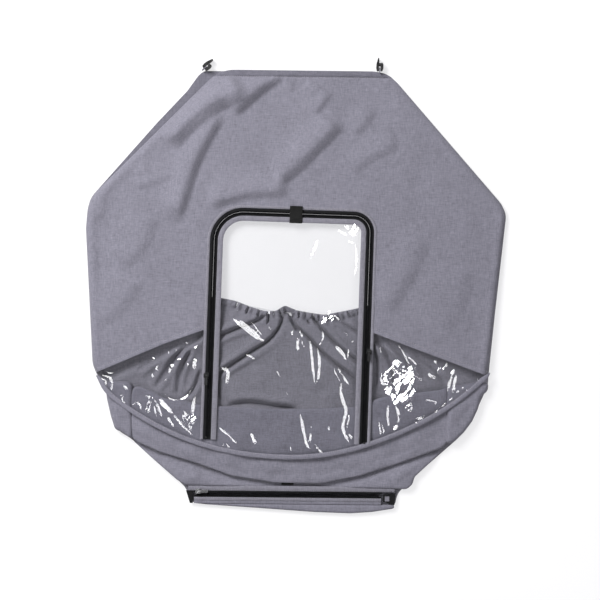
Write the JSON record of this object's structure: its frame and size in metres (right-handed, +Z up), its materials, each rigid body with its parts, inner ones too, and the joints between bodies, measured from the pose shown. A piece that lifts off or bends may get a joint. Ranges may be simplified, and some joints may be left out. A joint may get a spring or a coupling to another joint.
{
  "type": "stroller weather cover",
  "caption": "Soft grey woven stroller weather cover lying flat, with clear zip-out window, gathered elastic back edge, zipped foot end and corner clips",
  "frame": {"origin": "on the floor under the middle of the whole cover as it lies flat", "axes": "+X across the cover to the right of someone facing its window, +Y from the foot end to the hood's top hem, +Z up from the floor through the window"},
  "size_m": [0.6611, 0.7164, 0.0238],
  "materials": {
    "woven_fabric": "matte heathered weave",
    "binding": "matte folded tape with stitching",
    "clear_sheet": "clear glossy crinkled sheet",
    "zip_tape": "matte woven tape",
    "zip_coil": "satin moulded coil",
    "webbing": "matte ribbed webbing",
    "black_slider": "semi-gloss black paint",
    "bright_slider": "bright plated",
    "clip_plastic": "satin black moulded plastic",
    "spring_steel": "plain drawn wire",
    "elastic": "flat covered elastic"
  },
  "bodies": {
    "cover": {"back_panel_lower": "woven_fabric", "back_panel_upper": "woven_fabric", "clear_panel_hem": "binding", "clip_base_left": "clip_plastic", "clip_base_right": "clip_plastic", "clip_pin_left": "spring_steel", "clip_pin_right": "spring_steel", "clip_spring_left": "spring_steel", "clip_spring_right": "spring_steel", "corner_tab_left": "woven_fabric", "corner_tab_right": "woven_fabric", "elastic_band": "elastic", "elastic_casing": "woven_fabric", "first_foot_fold": "woven_fabric", "foot_end_panel": "woven_fabric", "foot_gusset_left": "woven_fabric", "foot_gusset_right": "woven_fabric", "foot_upper_binding": "binding", "foot_upper_coil": "zip_coil", "foot_upper_tape": "zip_tape", "foot_zip_end_tab": "binding", "hood_panel": "woven_fabric", "lower_clear_strip": "clear_sheet", "second_foot_fold": "woven_fabric", "side_fold_left": "woven_fabric", "side_fold_right": "woven_fabric", "side_gusset_left": "woven_fabric", "side_gusset_right": "woven_fabric", "side_window_left": "clear_sheet", "side_window_right": "clear_sheet", "strap_end": "webbing", "top_hem": "woven_fabric", "window_outer_binding": "binding", "window_outer_coil": "zip_coil", "window_outer_tape": "zip_tape", "window_zip_stops": "black_slider"},
    "window_flap": {"flap_clear_sheet": "clear_sheet", "flap_binding": "binding", "flap_tape": "zip_tape", "flap_coil": "zip_coil", "tab_sewn_end": "webbing"},
    "closing_tab": {"closing_tab": "webbing"},
    "left_slider": {"window_slider_left": "black_slider"},
    "left_pull": {"window_pull_left": "black_slider"},
    "right_slider": {"window_slider_right": "black_slider"},
    "right_pull": {"window_pull_right": "black_slider"},
    "foot_slider": {"foot_slider": "bright_slider"},
    "foot_pull": {"foot_pull": "bright_slider"},
    "foot_lip": {"foot_lip": "woven_fabric", "lip_binding": "binding", "lip_tape": "zip_tape", "lip_coil": "zip_coil"},
    "left_clip_lever": {"clip_lever_left": "clip_plastic"},
    "right_clip_lever": {"clip_lever_right": "clip_plastic"}
  },
  "joints": [
    {"name": "window_flap_open", "type": "hinge", "parent": "cover", "child": "window_flap", "pos_m": [-0.0165, -0.2454, 0.0216], "axis": [0.9994, -0.0349, 0.0009], "range_deg": [0, 165]},
    {"name": "closing_tab_lift", "type": "hinge", "parent": "window_flap", "child": "closing_tab", "pos_m": [0.00069, 0.10361, 0.01317], "axis": [0.9994, -0.0349, 0.0009], "range_deg": [0, 150]},
    {"name": "left_slider_slide", "type": "slide", "parent": "cover", "child": "left_slider", "axis": [0.0349, 0.999, -0.0262], "range_m": [-0.082, 0.2005]},
    {"name": "right_slider_slide", "type": "slide", "parent": "cover", "child": "right_slider", "axis": [0.0349, 0.999, -0.0262], "range_m": [-0.128, 0.1745]},
    {"name": "left_pull_lift", "type": "hinge", "parent": "left_slider", "child": "left_pull", "pos_m": [-0.13963, -0.141, 0.02197], "axis": [-0.9994, 0.0349, -0.0009], "range_deg": [0, 160]},
    {"name": "right_pull_lift", "type": "hinge", "parent": "right_slider", "child": "right_pull", "pos_m": [0.11522, -0.10388, 0.021], "axis": [-0.9994, 0.0349, -0.0009], "range_deg": [0, 160]},
    {"name": "foot_slider_slide", "type": "slide", "parent": "cover", "child": "foot_slider", "axis": [1, -0.0096, 0.0003], "range_m": [0, 0.272]},
    {"name": "foot_pull_lift", "type": "hinge", "parent": "foot_slider", "child": "foot_pull", "pos_m": [-0.15246, -0.32254, 0.01272], "axis": [-0.0096, -0.9996, 0.0262], "range_deg": [0, 160]},
    {"name": "foot_lip_open", "type": "hinge", "parent": "cover", "child": "foot_lip", "pos_m": [-0.01215, -0.34398, 0.00948], "axis": [1, -0.0096, 0.0003], "range_deg": [0, 160]},
    {"name": "left_clip_open", "type": "hinge", "parent": "cover", "child": "left_clip_lever", "pos_m": [-0.136, 0.3476, 0.0058], "axis": [0, 0, -1], "range_deg": [0, 26], "stiffness_Nm_per_rad": 0.02, "springref_deg": -11.46},
    {"name": "right_clip_open", "type": "hinge", "parent": "cover", "child": "right_clip_lever", "pos_m": [0.1326, 0.3476, 0.0058], "axis": [0, 0, -1], "range_deg": [0, 26], "stiffness_Nm_per_rad": 0.02, "springref_deg": -11.46}
  ]
}
